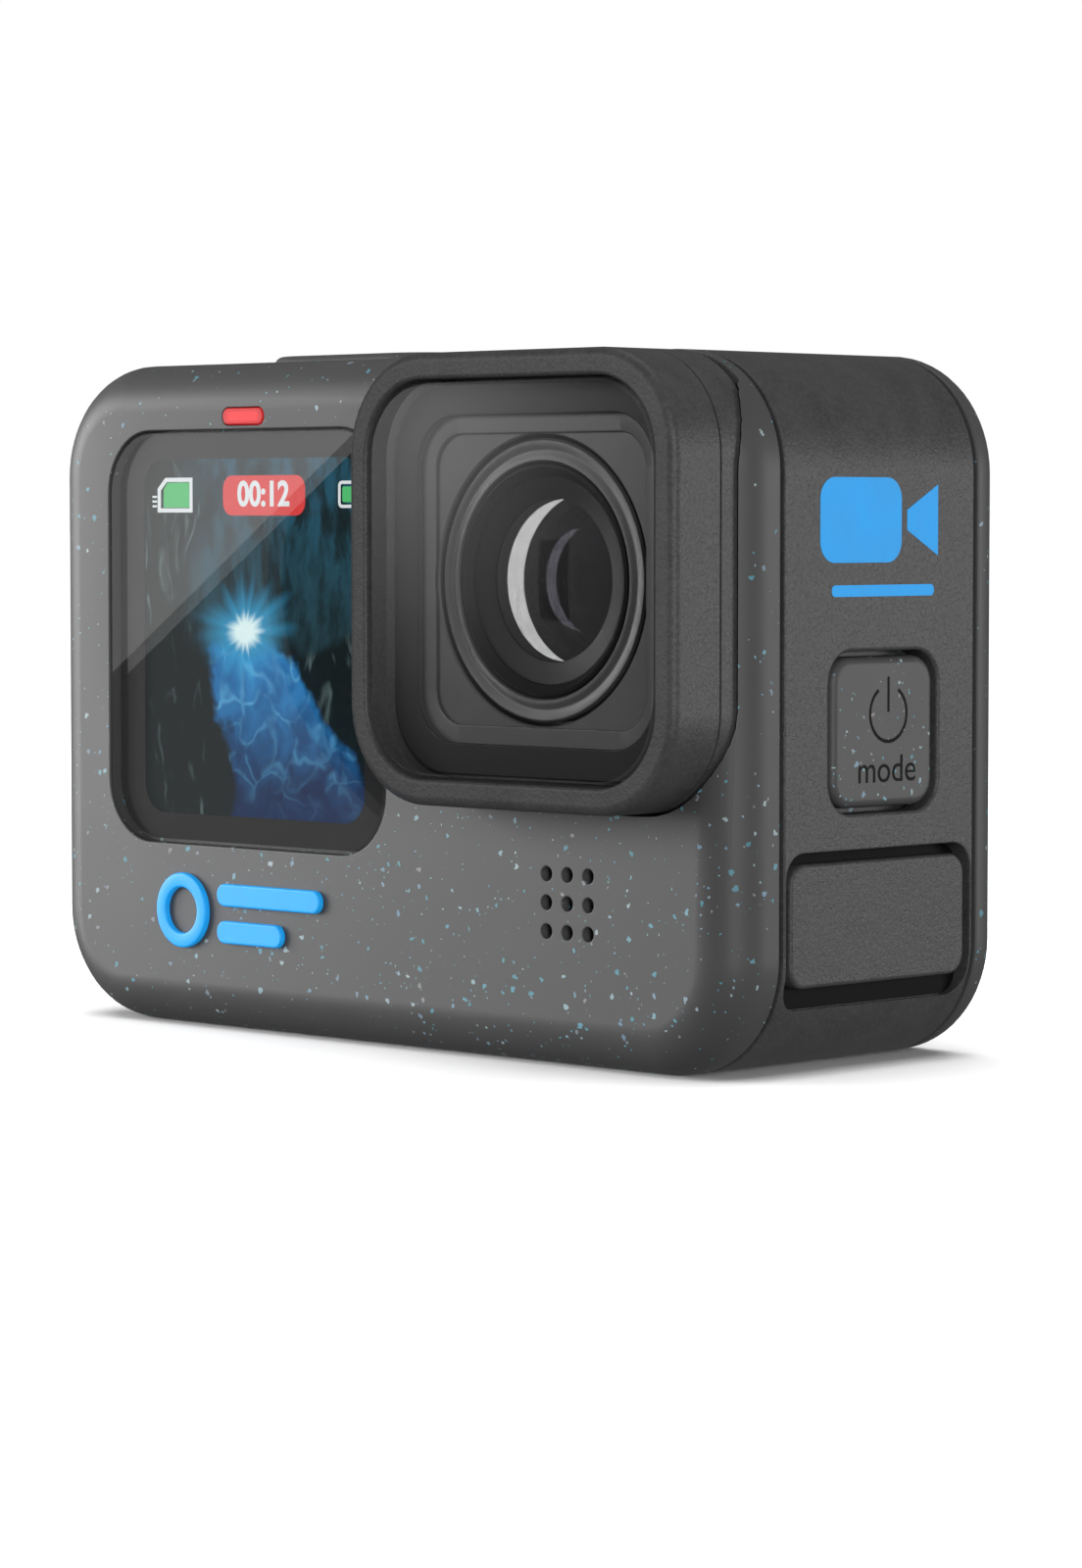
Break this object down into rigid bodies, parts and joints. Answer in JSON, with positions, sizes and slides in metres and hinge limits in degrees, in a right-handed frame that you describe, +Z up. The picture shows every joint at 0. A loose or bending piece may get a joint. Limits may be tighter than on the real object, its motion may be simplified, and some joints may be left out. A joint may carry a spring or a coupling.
{
  "type": "action camera",
  "caption": "Small square-shouldered action camera with a square lens cover, front and rear screens, side door, push buttons and fold-out mounting fingers.",
  "frame": {"origin": "middle of the bounding box's bottom face, on the surface that the camera stands on", "axes": "+X along the width, towards the lens and the mode button; +Y from the front face to the rear screen; +Z up, towards the shutter button"},
  "size_m": [0.0718, 0.0336, 0.0511],
  "materials": {
    "speckled_housing": "smooth matte dark grey with fine blue and white chips",
    "grained_housing": "dark grey with a fine leather-like moulded grain",
    "black_plastic": "satin black",
    "black_gloss": "polished black",
    "screen_glass": "polished flat cover glass",
    "lens_glass": "polished, coated",
    "display": "lit display panel",
    "blue_accent": "satin bright blue",
    "lamp_red": "red light pipe",
    "rubber": "matt black silicone",
    "steel": "fine brushed",
    "brass": "turned",
    "circuit": "green solder mask",
    "aluminium": "fine blasted",
    "battery_wrap": "satin dark blue-grey",
    "card_black": "satin black"
  },
  "bodies": {
    "camera_body": {"front_housing": "speckled_housing", "middle_frame": "grained_housing", "rear_cover": "speckled_housing", "front_glass": "screen_glass", "front_display": "display", "status_lamp": "lamp_red", "badge_ring": "blue_accent", "badge_bar_upper": "blue_accent", "badge_bar_lower": "blue_accent", "mic_mesh": "black_plastic", "microphone": "steel", "lens_mount": "grained_housing", "lens_bracket": "aluminium", "lens_screw_1": "steel", "lens_screw_2": "steel", "lens_screw_3": "steel", "lens_screw_4": "steel", "lens_barrel": "black_plastic", "lens_retainer": "black_gloss", "front_element": "lens_glass", "aperture_stop": "black_plastic", "middle_element": "lens_glass", "rear_element": "lens_glass", "image_sensor": "black_gloss", "sensor_board": "circuit", "rear_glass": "screen_glass", "rear_display": "display", "mode_seal": "rubber", "mode_switch": "steel", "speaker_plate": "grained_housing", "speaker": "steel", "shutter_seal": "rubber", "shutter_switch": "steel", "door_pin": "steel", "battery": "battery_wrap", "battery_tab": "black_plastic", "battery_bay": "black_plastic", "port_bezel": "black_plastic", "usb_c_port": "steel", "microsd_card": "card_black", "microsd_socket": "steel", "main_board": "circuit", "heat_spreader": "aluminium", "finger_pin_1": "steel", "finger_pin_2": "steel", "finger_pin_3": "steel", "finger_pin_4": "steel", "thread_insert": "brass"},
    "lens_cover": {"cover_ring": "grained_housing", "cover_glass": "lens_glass", "cover_baffle": "black_plastic", "cover_seal": "rubber"},
    "shutter": {"shutter_button": "speckled_housing"},
    "mode": {"mode_button": "speckled_housing"},
    "door": {"side_door": "grained_housing", "door_gasket": "rubber"},
    "latch": {"door_latch": "black_plastic"},
    "right_finger": {"finger_right": "black_plastic"},
    "left_finger": {"finger_left": "black_plastic"}
  },
  "joints": [
    {"name": "lens_cover_turn", "type": "hinge", "parent": "camera_body", "child": "lens_cover", "pos_m": [0.0189, -0.012, 0.0343], "axis": [0, -1, 0], "range_deg": [0, 45]},
    {"name": "shutter_press", "type": "slide", "parent": "camera_body", "child": "shutter", "axis": [0, 0, -1], "range_m": [0, 0.0008], "stiffness_N_per_m": 1500, "springref_m": -0.0003},
    {"name": "mode_press", "type": "slide", "parent": "camera_body", "child": "mode", "axis": [-1, 0, 0], "range_m": [0, 0.0008], "stiffness_N_per_m": 1500, "springref_m": -0.0003},
    {"name": "door_swing", "type": "hinge", "parent": "camera_body", "child": "door", "pos_m": [-0.0347, 0.0033, 0.043], "axis": [0, 1, 0], "range_deg": [0, 90]},
    {"name": "latch_slide", "type": "slide", "parent": "door", "child": "latch", "axis": [0, 0, 1], "range_m": [0, 0.002], "stiffness_N_per_m": 300, "springref_m": -0.001},
    {"name": "right_finger_fold", "type": "hinge", "parent": "camera_body", "child": "right_finger", "pos_m": [0.00305, 0.0033, 0.00155], "axis": [0, 1, 0], "range_deg": [0, 90]},
    {"name": "left_finger_fold", "type": "hinge", "parent": "camera_body", "child": "left_finger", "pos_m": [-0.00305, 0.0033, 0.00155], "axis": [0, -1, 0], "range_deg": [0, 90]}
  ]
}
